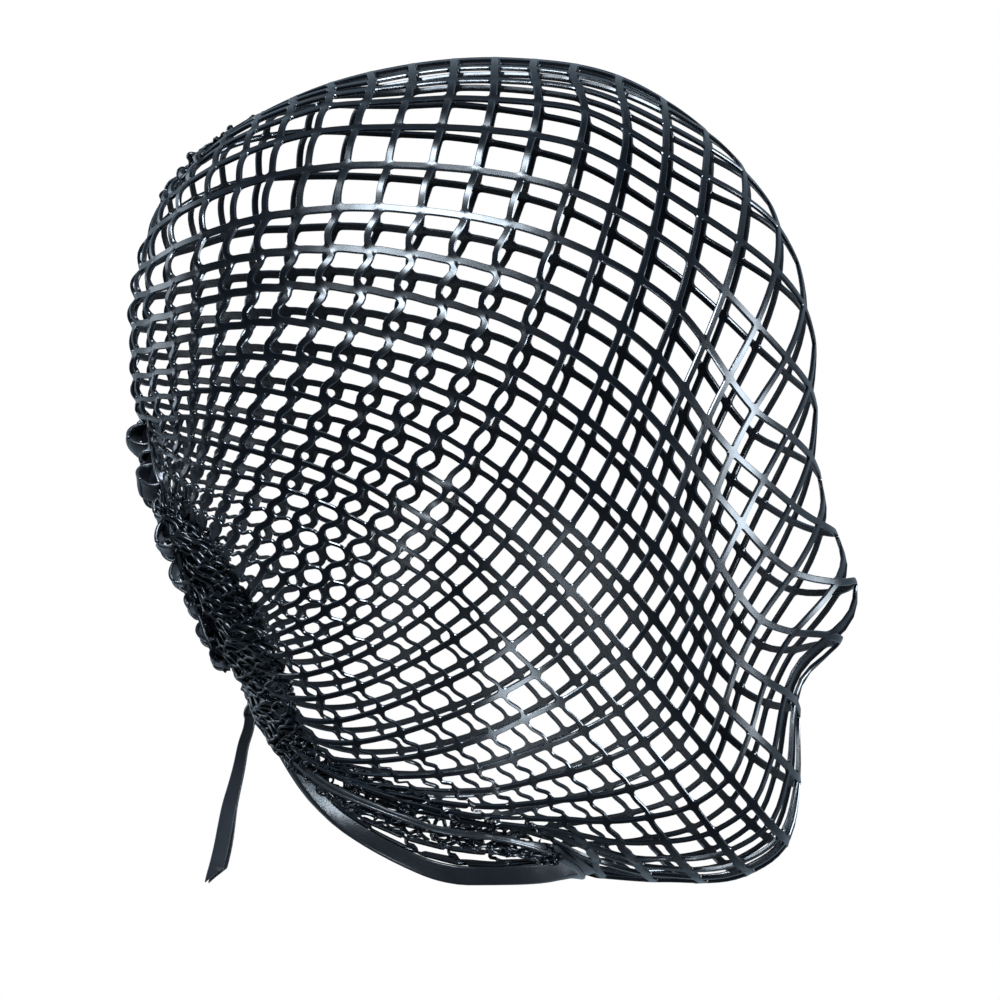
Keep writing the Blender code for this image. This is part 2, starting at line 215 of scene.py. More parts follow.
def hem_low(s, side):
    """Lower edge of the hem; s runs from 0 at the throat to 1 at the nape."""
    x = HEM_MID_X + HEM_REACH_X * np.cos(s * HEM_SWEEP)
    y = side * HEM_REACH_Y * np.sin(s * HEM_SWEEP)
    z = sum(w * np.interp(x + dx, HEM_LINE_X, HEM_LINE_Z) for w, dx in HEM_BLUR)
    if side < 0:
        z = z + HEM_RIGHT_RAISE * np.sin(np.pi * np.clip(s, 0, 1))**1.5
    return np.array([x, y, z])


def hem_up(s):
    """Direction across the hem band, from its lower to its upper edge."""
    tilt = HEM_TILT * (1 - smooth(s / 0.20))
    return np.array([np.sin(tilt), 0.0, np.cos(tilt)])


def hem_s_of_x(x):
    return math.acos(max(-1, min(1, (x - HEM_MID_X) / HEM_REACH_X))) / HEM_SWEEP


def back_edge(s, side):
    """Edge of the back opening; s runs from 0 at its top to 1 at the nape."""
    p = [np.array([-97.2, 0, 128.0]), np.array([-96.0, side * 26, 120.0]),
         np.array([-88.5, side * 34, 86.0]), np.array([-75.0, side * 12, 60.0])]
    return ((1 - s)**3 * p[0] + 3 * s * (1 - s)**2 * p[1] + 3 * s**2 * (1 - s) * p[2]
            + s**3 * p[3])


def back_offset(s, side):
    """Step from the back edge to where the net begins."""
    angle = math.radians(90) * (1 - s) + math.radians(-50) * s
    return unit(np.array([0.25, side * math.cos(angle), math.sin(angle)])) * 3.4


# ---------------------------------------------------------------- where the strips cross
# Crossings are numbered (column, row). Columns run from the back opening (-13) over the crown
# to the throat (15); rows run from the middle of the crown (0) down the side to the nape (25).
FIRST_COL, LAST_COL, LAST_ROW = -13, 15, 25

# Row: {column: (x, z on the wearer's right, x, z on the wearer's left)}
SIDE_PLACES = {
    4: {-9: (-75.5, 206.5, -78.5, 208), -6: (-46.5, 217, -49.5, 219.5),
        -3: (-12, 219, -13, 220.5), 0: (26, 215.5, 25.5, 214.5), 3: (59.5, 197.5, 59.5, 195.5)},
    7: {-11: (-95, 174, -96, 175), -9: (-80.5, 180.5, -83.5, 181),
        -6: (-53.5, 186.5, -56.5, 186.5), -3: (-19.5, 186.5, -21.5, 186),
        0: (17.5, 179, 16, 178), 3: (52, 159.5, 49.5, 157), 6: (73.5, 131.5, 72, 128.5)},
    10: {-11: (-94.5, 149.5, -96, 149.5), -9: (-82.5, 152.5, -84.5, 151.5),
         -6: (-59.5, 155.5, -62, 153.5), -3: (-28.5, 151.5, -30.5, 151.5),
         0: (5.5, 141.5, 4, 142), 3: (35.5, 120.5, 35.5, 119), 6: (58.5, 96, 57, 92),
         9: (75, 73, 74, 69)},
    13: {-11: (-92, 129.5, -93.5, 130), -9: (-83, 129.5, -85.5, 129.5),
         -6: (-67, 127.5, -69.5, 127), -3: (-40.5, 121.5, -42, 123), 0: (-12, 109, -12.5, 110),
         3: (14.5, 88, 15, 86), 6: (38, 62.5, 37.5, 58.5), 9: (59.5, 37, 58.5, 32.5),
         12: (77.5, 16.5, 76.5, 14)},
    16: {-9: (-86, 111.5, -88.5, 111.5), -6: (-74, 106.5, -77, 106.5),
         -3: (-54.5, 99, -56.5, 99.5), 0: (-32, 85.5, -33.5, 85.5), 3: (-10, 66.5, -10, 65),
         6: (9.5, 44.5, 9, 41), 9: (27.5, 23, 26, 20), 12: (38.5, 7, 37, 5)},
    19: {-6: (-79, 90, -81, 90.5), -3: (-67, 82.5, -70, 82.5), 0: (-53.5, 71, -55.5, 71),
         3: (-36.5, 53.5, -38.5, 53), 6: (-19.5, 34.5, -21, 33.5)},
    22: {0: (-69, 66, -70, 69), 3: (-63, 54, -64, 57), 6: (-55, 39, -56, 43)}}
# Crossings on the middle line
CROWN_X = {-8: -64, -5: -34.7, -2: 0.8, 0: 23.2, 2: 46.2}       # column: x, in row 0
CROWN_ROW_2_REACH = 22.5                                        # from row 0 to row 2 on the form
BACK_TOP_X = {-9: -72, -10: -80.4, -11: -85, -12: -89.5}        # column: x
BACK_Z = {5: 191.5, 6: 181.5, 7: 172.5, 8: 164.5, 9: 156.3, 10: 148.7, 11: 142.0, 12: 136.0}
FACE_Z = {3: 212.5, 4: 203, 5: 191, 6: 174.5, 7: 151.5}         # column: z
CHIN_XZ, THROAT_XZ = (82, 12), (31, 2.4)    # where column 15 begins and where it meets the hem
# Crossings on the hem, (column, row): x
HEM_AT = {(15, 17): 23.5, (14, 18): 16, (13, 19): 4, (12, 20): -9, (11, 21): -22,
          (11, 22): -35, (11, 23): -46, (11, 24): -54}
# Crossings along the back edge, row: s
BACK_AT = {13: 0.0, 15: 0.20, 17: 0.38, 19: 0.54, 21: 0.69, 23: 0.83}
# Crossings of the last row, column: x, y, z (y on the left, mirrored on the right)
NAPE_AT = {-13: (-77, 9, 62), -9: (-75, 14, 61), -5: (-72, 18, 60), -1: (-69, 19, 58),
           3: (-67, 18, 55.5), 7: (-65.5, 15, 53), 11: (-64, 10, 51)}
# Crossings in the gather, (column, row): x, y, z
BUNCH_AT = {(-9, 19): (-85.5, 27, 97), (-6, 21): (-77.5, 27, 84), (-3, 21): (-69.5, 29, 77),
            (-9, 22): (-82, 20, 84), (-6, 23): (-76, 23, 76), (-3, 23): (-71, 25, 70),
            (2, 24): (-67, 22, 60)}


def middle_targets(side):
    """Known crossings on or next to the middle line, as {(column, row): place}."""
    target = {}
    for col, x in CROWN_X.items():
        top = crown_at_x(x)
        target[(col, 0)] = top
        if -7 < col < 2:
            angle = np.linspace(0, 1.2, 241)[:, None]
            arc = form_surface(np.cos(angle) * unit(top - HEAD)
                               + np.sin(angle) * np.array([0, side, 0.0]))
            nearest = np.argmin(np.abs(path_length(arc) - CROWN_ROW_2_REACH))
            target[(col, 2)] = arc[nearest]
    for col, x in BACK_TOP_X.items():
        target[(col, -8 - col)] = crown_at_x(x)
    for row, z in BACK_Z.items():
        target[(-13, row)] = MID_LINE[mid_index_at_z(z, False)]
    for col, z in FACE_Z.items():
        target[(col, col - 2)] = MID_LINE[mid_index_at_z(z, True)]
    face = MID_LENGTH[mid_index_at_z(FACE_Z[7], True)]
    chin = mid_length_near(*CHIN_XZ)
    for col in range(8, 16):
        target[(col, col - 2)] = mid_at_length(face + (chin - face) * (col - 7) / 8.0)
    throat = mid_length_near(*THROAT_XZ)
    for row in range(14, 17):
        target[(15, row)] = mid_at_length(chin + (throat - chin) * (row - 13) / 4.0)
    return target


def knot_targets(side):
    """All crossings whose places are known on one side, as {(column, row): place}."""
    target = {}
    for row, places in SIDE_PLACES.items():
        for col, place in places.items():
            x, z = place[:2] if side < 0 else place[2:]
            target[(col, row)] = side_point(x, z) * np.array([1, -side, 1])
    target.update(middle_targets(side))
    for key, x in HEM_AT.items():
        s = hem_s_of_x(x)
        target[key] = hem_low(s, side) + hem_up(s) * (HEM_HEIGHT + HEM_GAP)
    for row, s in BACK_AT.items():
        target[(-13, row)] = back_edge(s, side) + back_offset(s, side)
    for col, (x, y, z) in NAPE_AT.items():
        target[(col, LAST_ROW)] = np.array([x, side * y, z])
    for key, (x, y, z) in BUNCH_AT.items():
        target[key] = np.array([x, side * y, z])
    return target


def thin_plate(knots, values):
    """A thin-plate spline through the values at the knots, as a function of a list of places."""
    knots = np.array(knots, float)
    count = len(knots)

    def kernel(places):
        d = np.linalg.norm(places[:, None] - knots[None], axis=-1)
        return np.where(d > 0, d**2 * np.log(np.maximum(d, 1e-9)), 0)

    m = np.zeros((count + 3, count + 3))
    m[:count, :count] = kernel(knots) + np.eye(count) * 1e-2
    m[:count, count] = 1
    m[:count, count + 1:] = knots
    m[count:, :count] = m[:count, count:].T
    weights = np.linalg.solve(m, np.concatenate([values, np.zeros((3, values.shape[1]))]))

    def evaluate(places):
        places = np.array(places, float)
        return (kernel(places) @ weights[:count] + weights[count]
                + places @ weights[count + 1:])
    return evaluate


def first_col(row):
    return -8 - row if row < 5 else FIRST_COL


def last_col(row):
    if row <= 13:
        return 2 + row
    return LAST_COL if row <= 17 else max(32 - row, 11)


def on_middle(col, row):
    return (row == 0 or (row <= 5 and col == -8 - row) or (col == -13 and 5 <= row <= 13)
            or (row <= 13 and col == 2 + row) or (col == 15 and row <= 17))


def build_nodes():
    """Places of all crossings, as {(column, row, side): place}."""
    nodes = {}
    for side in (-1, 1):
        target = knot_targets(side)
        keys = sorted(target)
        v = np.array([target[k] for k in keys]) - HEAD
        reach = np.linalg.norm(v, axis=1)
        d = v / reach[:, None]
        # how far each crossing stands off the form, as the log of a ratio
        lift = np.log(reach / np.linalg.norm(form_surface(d) - HEAD, axis=1))
        spline = thin_plate(keys, np.concatenate([d, lift[:, None]], 1))
        grid = [(col, row) for row in range(LAST_ROW + 1)
                for col in range(first_col(row), last_col(row) + 1)]
        for (col, row), value in zip(grid, spline(grid)):
            d = value[:3] / np.linalg.norm(value[:3])
            if on_middle(col, row):
                nodes[(col, row, 0)] = form_surface((d * np.array([1, 0, 1]))[None])[0]
            else:
                p = form_surface(d[None])[0]
                nodes[(col, row, side)] = HEAD + (p - HEAD) * math.exp(value[3])
    return nodes


# ---------------------------------------------------------------- the lattice
REST = 9.7           # length of a strip that is neither stretched nor slack
# Strips come in three kinds: A joins neighbouring columns, B neighbouring rows, H follows the hem.
WIDE_A, WIDE_B = 2.3, 2.15
THICK = 1.15
BEVEL = 0.24
FILLET = 1.05        # room for the rounding where strips meet
MIN_REACH = 0.05     # least half width left to a strip at a hole


def strip_key(a, b):
    return (a, b) if a < b else (b, a)


def net_cells(nodes):
    """The holes: crossings in order round each, the kinds of its sides, (column, row, side)."""
    def find(col, row, side):
        for key in ((col, row, side), (col, row, 0)):
            if key in nodes:
                return key
        return None

    cells = []
    for side in (-1, 1):
        for row in range(LAST_ROW):
            for col in range(FIRST_COL, LAST_COL):
                corners = [find(col, row, side), find(col + 1, row, side),
                           find(col + 1, row + 1, side), find(col, row + 1, side)]
                kinds = ["A", "B", "A", "B"]
                missing = [n for n in range(4) if corners[n] is None]
                if missing == [0] and row < 5 and side < 0:
                    # astride the middle at the back of the crown
                    corners[0] = find(col + 1, row + 1, 1)
                    kinds = ["B", "B", "A", "A"]
                elif missing == [1] and row < 13 and col > 0 and side < 0:
                    # astride the middle down the face
                    corners[1] = find(col, row + 1, 1)
                    kinds = ["B", "A", "A", "B"]
                elif missing == [2] and row >= 17:
                    # cut off by the neck hem
                    corners = [corners[0], corners[1], corners[3]]
                    kinds = ["A", "H", "B"]
                elif missing:
                    continue
                cells.append((corners, kinds, (col, row, side)))
    return cells


def fold_gather(lattice):
    """Crossings that are crowded together ride up and down in folds."""
    pos, near = lattice.pos, lattice.near
    for key in list(pos):
        others = near[key]["A"] + near[key]["B"]
        if key[2] == 0 or key[1] >= LAST_ROW or near[key]["H"] or not others:
            continue
        spacing = np.mean([np.linalg.norm(pos[key] - pos[o]) for o in others])
        tightness = smooth((6.4 - spacing) / 2.6)
        if tightness > 0:
            col, row = key[:2]
            normal = lattice.normal[key]
            fold = (1.6 * math.sin(1.15 * col + 0.5 * row) + 1.3 * math.sin(1.9 * row - 0.4 * col)
                    + (chance(*key, 1) - 0.4) * 2.0)
            across = unit(np.cross(normal, [0.1, 0.3, 1.0]))
            slip = (across * (chance(*key, 2) - 0.5) * 1.6
                    + np.cross(normal, across) * (chance(*key, 4) - 0.5) * 1.6)
            pos[key] = pos[key] + tightness * (normal * (fold + 1.1) + slip)


def family_tangent(lattice, key, kind, ref):
    """Direction of a family of strips through a crossing, turned the same way as ref."""
    total = np.zeros(3)
    for other in lattice.near[key][kind]:
        c = unit(lattice.pos[other] - lattice.pos[key])
        total += c if c @ ref > 0 else -c
    return unit(total) if np.linalg.norm(total) > 0.3 else ref


def strip_end(lattice, key, kind, chord, hand):
    """Direction in which a strip leaves a crossing, and how strongly it is bent there (0..1)."""
    normal = lattice.normal[key]
    own = family_tangent(lattice, key, kind, chord)
    square = own
    other_kind = "B" if kind == "A" else "A"
    crossing = lattice.near[key][other_kind]
    if crossing:
        ref = unit(lattice.pos[crossing[0]] - lattice.pos[key])
        square = np.cross(family_tangent(lattice, key, other_kind, ref), normal)
        square = square if square @ chord > 0 else -square
    col, row = key[:2]
    turn = window(col, -12.6, -10.5, -1.5, 2.0) * window(row, 6.0, 9.0, 16.5, 19.5)
    if kind == "B":
        squareness, turn_degrees = 0.55 * turn, 40.0 * turn
    elif kind == "A":
        squareness = rise(row, 13.0, 16.0) * window(col, -12.0, -9.0, 8.5, 12.0)
        turn_degrees = 12.0 * turn
    else:
        squareness, turn_degrees = 0.0, 0.0
    t = unit(own * (1 - squareness) + square * squareness)
    t = unit(t - (t @ normal) * normal * 0.9)
    # the crossing is turned in the sheet, the same way for both families
    angle = math.radians(turn_degrees) * hand
    t = t * math.cos(angle) + np.cross(normal, t) * math.sin(angle)
    return t, max(squareness, turn_degrees / 40.0)


def on_form(points, lift_a, lift_b, t):
    """Points moved radially onto the form, off it by a ratio that runs from lift_a to lift_b."""
    d = unit(points - HEAD)
    r = np.linalg.norm(form_surface(d) - HEAD, axis=1)
    return HEAD + d * (r * (lift_a * (1 - t) + lift_b * t))[:, None]


def slack_shape(edge, kind, length, i, j):
    """How far a strip bows outwards and how far it snakes in the sheet; (i, j) is its middle."""
    a, b = edge
    slack = math.sqrt(length * max(0.0, REST - length))
    random_bow, random_snake = chance(*a, *b[:2], 3), chance(*a, *b[:2], 8)
    bow = snake = 0.0
    if kind == "B":
        back = fall(i, -10.5, -8.0) * fall(j, 15, 18)
        bow = ((0.34 * slack + 0.05 * length) * back * (0.75 + 0.5 * random_bow)
               * (1 - 0.55 * rise(j, 8.0, 10.0))
               + 0.085 * length * window(i, -12, -10, -1, 3) * window(j, 2.5, 5.0, 13.0, 17.0))
        snake = (0.05 + 0.07 * rise(j, 16.0, 19.0)) * slack * (1 - back)
    elif kind == "A":
        fan = rise(j, 14.0, 17.0)
        snake = (0.05 * slack + 0.03 * length) * fan
        bow = 0.08 * slack * fan * (random_bow - 0.3)
    crush = smooth((5.0 - length) / 2.5)
    return (bow + crush * (random_bow - 0.4) * 1.3,
            snake + crush * (random_snake - 0.5) * 0.8)


def strip_centre_line(lattice, edge, kind, length, i, j, t):
    """Points of the centre line at the places t along it, and the directions at its two ends."""
    a, b = edge
    pa, pb = lattice.pos[a], lattice.pos[b]
    chord = (pb - pa) / length
    normal = unit(lattice.normal[a] + lattice.normal[b])
    normal = unit(normal - (normal @ chord) * chord)
    hand = -1.0 if (a[2] or b[2]) > 0 else 1.0
    leave_a, bend_a = strip_end(lattice, a, kind, chord, hand)
    leave_b, bend_b = strip_end(lattice, b, kind, chord, hand)
    gain = 0.80 if kind == "B" else 0.35
    p = ((2 * t**3 - 3 * t**2 + 1)[:, None] * pa
         + (t**3 - 2 * t**2 + t)[:, None] * leave_a * (length * (1.0 + gain * bend_a))
         + (-2 * t**3 + 3 * t**2)[:, None] * pb
         + (t**3 - t**2)[:, None] * leave_b * (length * (1.0 + gain * bend_b)))
    p = on_form(p, lattice.lift[a], lattice.lift[b], t)
    p[0], p[-1] = pa, pb
    bow, snake = slack_shape(edge, kind, length, i, j)
    p = (p + normal * (bow * np.sin(np.pi * t)**1.2)[:, None]
         - np.cross(normal, chord) * (hand * snake * np.sin(2 * np.pi * t))[:, None])
    return p, leave_a, leave_b


def strip_half_width(kind, length, i, j, fan):
    half = (WIDE_A if kind == "A" else WIDE_B) / 2
    half *= np.clip(REST / max(length, 1.0), 0.6, 1.0)**0.35      # stretched strips are thinner
    if kind == "A":
        half *= ((1 - 0.56 * fan)
                 * (1 - 0.30 * fall(i, 0, 3) * rise(j, 9.0, 12.5) * (1 - fan)))
    elif kind == "B":
        half *= (1 - 0.20 * rise(j, 9.0, 14.0) * (1 - 0.8 * window(i, -13, -11, -4, -1))
                 - 0.06 * fall(i, -8.5, -7) * fall(j, 12, 15))
    return half * (1 - 0.25 * smooth((6.5 - length) / 3.0))


def build_strip(lattice, edge, kind):
    """Centre line of a strip with its directions across and outwards, half width and length."""
    a, b = edge
    i, j = (a[0] + b[0]) / 2, (a[1] + b[1]) / 2
    length = np.linalg.norm(lattice.pos[b] - lattice.pos[a])
    extra = max(0.0, REST - length)
    fan = rise(j, 13.0, 16.0) * window(i, -12.0, -9.0, 9.5, 12.0)
    soft = max(fan, window(i, -9.5, -7.0, 0, 4.0) * rise(j, 9.0, 12.0))
    half = strip_half_width(kind, length, i, j, fan)
    # the rounding at the crossings takes up this share of the strip at each end
    crossing_half = half
    if soft > 0.5:
        crossing_half = WIDE_B * 0.42 if kind == "A" else WIDE_A * 0.5 * (1 - 0.56 * fan)
    corner = min(0.36, (crossing_half + FILLET + 0.15 * soft) / max(length, 0.5))
    turned = window(i, -12.6, -10.5, -1.5, 3.0) * window(j, 5.0, 9.0, 14.5, 18.0)
    wavy = extra > 0.6 or soft > 0.05 or turned > 0.02
    t = np.concatenate([[0, corner * 0.5], np.linspace(corner, 1 - corner, 7 if wavy else 5),
                        [1 - corner * 0.5, 1.0]])
    points, leave_a, leave_b = strip_centre_line(lattice, edge, kind, length, i, j, t)
    tangent = np.gradient(points, t, axis=0)
    tangent[0], tangent[-1] = leave_a, leave_b
    tangent = unit(tangent)
    outward = form_normals(points)
    outward[0], outward[-1] = lattice.normal[a], lattice.normal[b]
    w = unit(np.cross(outward, tangent))
    n = np.cross(tangent, w)
    if wavy:
        # bunched strips stand on edge
        draw = chance(*a, *b[:2], 5)
        twist = ((draw - 0.5) * 0.8 * smooth(extra / 4.0)
                 + (0.9 + 0.5 * draw) * smooth((5.2 - length) / 2.0))
        angle = twist * np.sin(np.pi * t)
        cos, sin = np.cos(angle)[:, None], np.sin(angle)[:, None]
        w, n = w * cos + n * sin, n * cos - w * sin
    return SimpleNamespace(points=points, across=w, normal=n, half=half, length=length)


def build_lattice():
    """The net as cells, crossings (pos, normal, near, lift) and strips."""
    nodes = build_nodes()
    lattice = SimpleNamespace(cells=net_cells(nodes), pos={k: nodes[k] for k in sorted(nodes)})
    lattice.normal = {k: form_normals(p[None])[0] for k, p in lattice.pos.items()}
    lattice.near = {k: {"A": [], "B": [], "H": []} for k in lattice.pos}
    edges = {}
    for corners, kinds, _ in lattice.cells:
        for n, kind in enumerate(kinds):
            a, b = corners[n], corners[(n + 1) % len(corners)]
            edge = strip_key(a, b)
            if edge not in edges:
                edges[edge] = kind
                lattice.near[a][kind].append(b)
                lattice.near[b][kind].append(a)
    fold_gather(lattice)
    v = np.array(list(lattice.pos.values())) - HEAD
    lift = np.linalg.norm(v, axis=1) / np.linalg.norm(form_surface(unit(v)) - HEAD, axis=1)
    lattice.lift = dict(zip(lattice.pos, lift))
    lattice.strips = {edge: build_strip(lattice, edge, kind) for edge, kind in edges.items()}
    return lattice


def cell_side(lattice, a, b):
    """The strip from a to b, reversed if it is stored the other way round."""
    edge = strip_key(a, b)
    strip = lattice.strips[edge]
    step = 1 if edge[0] == a else -1
    return SimpleNamespace(points=strip.points[::step], across=strip.across[::step] * step,
                           normal=strip.normal[::step], half=strip.half, length=strip.length)


def corner_points(place, before, after, inset, params):
    """Points at the given parameters of the curve rounding the corner between two sides."""
    h0 = max(before.reach - inset, MIN_REACH)
    h1 = max(after.reach - inset, MIN_REACH)
    b0, b1 = before.across[-1], after.across[0]
    corner = place + (b0 * h0 + b1 * h1) / max(0.55, 1 + b0 @ b1)
    start = before.points[-3] + before.across[-3] * h0
    end = after.points[2] + after.across[2] * h1
    return [(1 - s)**2 * start + 2 * s * (1 - s) * corner + s**2 * end for s in params]


def cell_rings(lattice, corners):
    """Six rings round one hole, from the outer centre lines to the inner ones, and their turn."""
    n = len(corners)
    sides = [cell_side(lattice, corners[k], corners[(k + 1) % n]) for k in range(n)]
    centre = np.mean([lattice.pos[k] for k in corners], axis=0)
    inward = 0.0
    for side in sides:
        mid = len(side.points) // 2
        inward += side.across[mid] @ (centre - side.points[mid])
    sign = 1.0 if inward > 0 else -1.0
    for k, side in enumerate(sides):
        side.across = side.across * sign        # now pointing into the hole
        side.reach = min(side.half, 0.36 * min(sides[k - 1].length, sides[(k + 1) % n].length))

    def hole_loop(inset):
        loop = []
        for k, side in enumerate(sides):
            after = sides[(k + 1) % n]
            place, next_place = lattice.pos[corners[k]], lattice.pos[corners[(k + 1) % n]]
            loop += corner_points(place, sides[k - 1], side, inset, (0.5, 0.78))
            h = max(side.reach - inset, MIN_REACH)
            loop += [side.points[x] + side.across[x] * h for x in range(2, len(side.points) - 2)]
            loop += corner_points(next_place, side, after, inset, (0.22,))
        return np.array(loop)

    line, normals = [], []
    for k, side in enumerate(sides):
        line.append(side.points[:-1])
        normals.append(lattice.normal[corners[k]][None])
        normals.append(side.normal[1:-1])
    line, normals = np.concatenate(line), np.concatenate(normals)
    bevelled, hole = hole_loop(BEVEL), hole_loop(0.0)
    half = THICK / 2
    rings = [line + normals * half, bevelled + normals * half, hole + normals * (half - BEVEL),
             hole - normals * (half - BEVEL), bevelled - normals * half, line - normals * half]
    return rings, sign


# ---------------------------------------------------------------- materials
def empty_tree(owner):
    """The owner's node tree, switched on and cleared."""
    owner.use_nodes = True
    tree = owner.node_tree
    for node in list(tree.nodes):
        tree.nodes.remove(node)
    return tree


def add_noise(tree, coords, scale, detail):
    noise = tree.nodes.new("ShaderNodeTexNoise")
    noise.inputs["Scale"].default_value = scale
    noise.inputs["Detail"].default_value = detail
    tree.links.new(coords.outputs["Object"], noise.inputs["Vector"])
    return noise


def rubber(name, dark, light, rough, spec, bump=0.25, grain=900.0):
    """Moulded rubber: colour drifting from dark to light, smudged roughness and a fine grain."""
    material = bpy.data.materials.new(name)
    tree = empty_tree(material)
    link = tree.links.new
    output = tree.nodes.new("ShaderNodeOutputMaterial")
    shader = tree.nodes.new("ShaderNodeBsdfPrincipled")
    link(shader.outputs[0], output.inputs[0])
    coords = tree.nodes.new("ShaderNodeTexCoord")

    drift = add_noise(tree, coords, scale=38.0, detail=4.0)
    ramp = tree.nodes.new("ShaderNodeValToRGB")
    for stop, position, colour in zip(ramp.color_ramp.elements, (0.38, 0.72), (dark, light)):
        stop.position = position
        stop.color = (*colour, 1)
    link(drift.outputs["Fac"], ramp.inputs["Fac"])
    link(ramp.outputs["Color"], shader.inputs["Base Color"])

    smudge = add_noise(tree, coords, scale=210.0, detail=3.0)
    roughness = tree.nodes.new("ShaderNodeMapRange")
    roughness.inputs["To Min"].default_value = rough - 0.07
    roughness.inputs["To Max"].default_value = rough + 0.09
    link(smudge.outputs["Fac"], roughness.inputs["Value"])
    link(roughness.outputs["Result"], shader.inputs["Roughness"])

    fine = add_noise(tree, coords, scale=grain, detail=2.0)
    relief = tree.nodes.new("ShaderNodeBump")
    relief.inputs["Strength"].default_value = bump
    relief.inputs["Distance"].default_value = 0.0002
    link(fine.outputs["Fac"], relief.inputs["Height"])
    link(relief.outputs["Normal"], shader.inputs["Normal"])

    shader.inputs["Metallic"].default_value = 0.0
    shader.inputs["IOR"].default_value = 1.52
    shader.inputs["Specular IOR Level"].default_value = spec
    return material


NET_TOP = rubber("net_rubber", dark=(0.0007, 0.0013, 0.0026), light=(0.0020, 0.0033, 0.0056),
                 rough=0.25, spec=0.50, bump=0.05, grain=420.0)
# Bevels of the strips: the same rubber and glossier, with a lighter colour that is a painted
# highlight along the strip edges
NET_EDGE_PAINTED_HIGHLIGHT = rubber("net_rubber_edge_painted_highlight", dark=(0.0065, 0.0090, 0.0135), light=(0.013, 0.017, 0.023),
                  rough=0.20, spec=0.75, bump=0.12)
NET_INNER = rubber("net_rubber_inside", dark=(0.0007, 0.0011, 0.0020),
                   light=(0.0020, 0.0027, 0.0040), rough=0.45, spec=0.16, bump=0.1)
HEM_MAT = rubber("hem_rubber", dark=(0.010, 0.012, 0.015), light=(0.020, 0.022, 0.025),
                 rough=0.30, spec=0.6)
LIP_MAT = rubber("lip_rubber", dark=(0.014, 0.016, 0.019), light=(0.024, 0.026, 0.029),
                 rough=0.24, spec=0.7)
BAND_MAT = rubber("edge_rubber", dark=(0.011, 0.013, 0.017), light=(0.024, 0.027, 0.031),
                  rough=0.27, spec=0.7)
FOLD_MAT = rubber("gather_rubber", dark=(0.0022, 0.0034, 0.0054), light=(0.0050, 0.0068, 0.0100),
                  rough=0.24, spec=0.45, bump=0.1)
KNOT_MAT = rubber("knot_rubber", dark=(0.009, 0.011, 0.014), light=(0.018, 0.020, 0.024),
                  rough=0.34, spec=0.6)
TIE_MAT = rubber("tie_rubber", dark=(0.010, 0.012, 0.015), light=(0.022, 0.024, 0.028),
                 rough=0.32, spec=0.6)


# ---------------------------------------------------------------- mesh helpers
def new_object(name, verts, faces, materials, material_index=None):
    """An object from vertices in mm."""
    mesh = bpy.data.meshes.new(name)
    mesh.from_pydata([tuple(v) for v in np.asarray(verts) * 0.001], [], faces)
    for material in materials:
        mesh.materials.append(material)
    if material_index is not None:
        mesh.polygons.foreach_set("material_index", np.asarray(material_index, np.int32))
    mesh.update()
    obj = bpy.data.objects.new(name, mesh)
    bpy.context.scene.collection.objects.link(obj)
    return obj


def shade(mesh, sharp_degrees):
    mesh.shade_smooth()
    mesh.set_sharp_from_angle(angle=math.radians(sharp_degrees))


def weld(obj):
    bm = bmesh.new()
    bm.from_mesh(obj.data)
    bmesh.ops.remove_doubles(bm, verts=bm.verts, dist=1e-6)
    bm.to_mesh(obj.data)
    bm.free()


def turn_faces_out(obj):
    bm = bmesh.new()
    bm.from_mesh(obj.data)
    bmesh.ops.recalc_face_normals(bm, faces=bm.faces)
    bm.to_mesh(obj.data)
    bm.free()


def tube_faces(rows, around, base=0):
    """Faces of a capped tube whose vertices come in rows, starting at vertex base."""
    faces = []
    for i in range(rows - 1):
        here, ahead = base + i * around, base + (i + 1) * around
        for x in range(around):
            y = (x + 1) % around
            faces.append((here + x, here + y, ahead + y, ahead + x))
    faces.append(tuple(base + x for x in range(around))[::-1])
    faces.append(tuple(base + (rows - 1) * around + x for x in range(around)))
    return faces


def sweep(name, centres, axis_u, axis_v, profile, material):
    """A profile (function of index -> (k, 2) points in u, v) carried along the centres."""
    rows = []
    for i, (centre, u, v) in enumerate(zip(centres, axis_u, axis_v)):
        p = profile(i)
        rows.append(centre + p[:, :1] * u + p[:, 1:] * v)
    obj = new_object(name, np.concatenate(rows), tube_faces(len(rows), len(rows[0])), [material])
    turn_faces_out(obj)
    shade(obj.data, 50)
    return obj


def rounded(width, height, radius, steps=4):
    """Outline of a rounded rectangle."""
    r = min(radius, width / 2 - 1e-4, height / 2 - 1e-4)
    x, y = width / 2 - r, height / 2 - r
    points = []
    for cx, cy, start in ((x, y, 0), (-x, y, 90), (-x, -y, 180), (x, -y, 270)):
        for step in range(steps + 1):
            a = math.radians(start + 90.0 * step / steps)
            points.append((cx + r * math.cos(a), cy + r * math.sin(a)))
    return np.array(points)


def join_into(target, extra):
    """Adds the extra mesh to the target as one object."""
    shift = len(target.data.materials)
    for material in extra.data.materials:
        target.data.materials.append(material)
    bm = bmesh.new()
    bm.from_mesh(target.data)
    old = len(bm.faces)
    bm.from_mesh(extra.data)
    bm.faces.ensure_lookup_table()
    for k in range(old, len(bm.faces)):
        bm.faces[k].material_index += shift
    bm.to_mesh(target.data)
    bm.free()
    mesh = extra.data
    bpy.data.objects.remove(extra)
    bpy.data.meshes.remove(mesh)


def register(obj, node):
    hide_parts(node)
    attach(obj, "cap")


# ---------------------------------------------------------------- the net
# Material slots of the bands between the six rings of a cell, from the outside of the net inwards;
# slot 1 lies on the bevels and carries the painted edge highlight
BAND_SLOTS = (0, 1, 0, 1, 2)


def in_gather(key):
    col, row, _ = key
    return (row >= 21 and col <= 6) or (row >= 19 and col <= -5) or (row >= 20 and col <= -2)


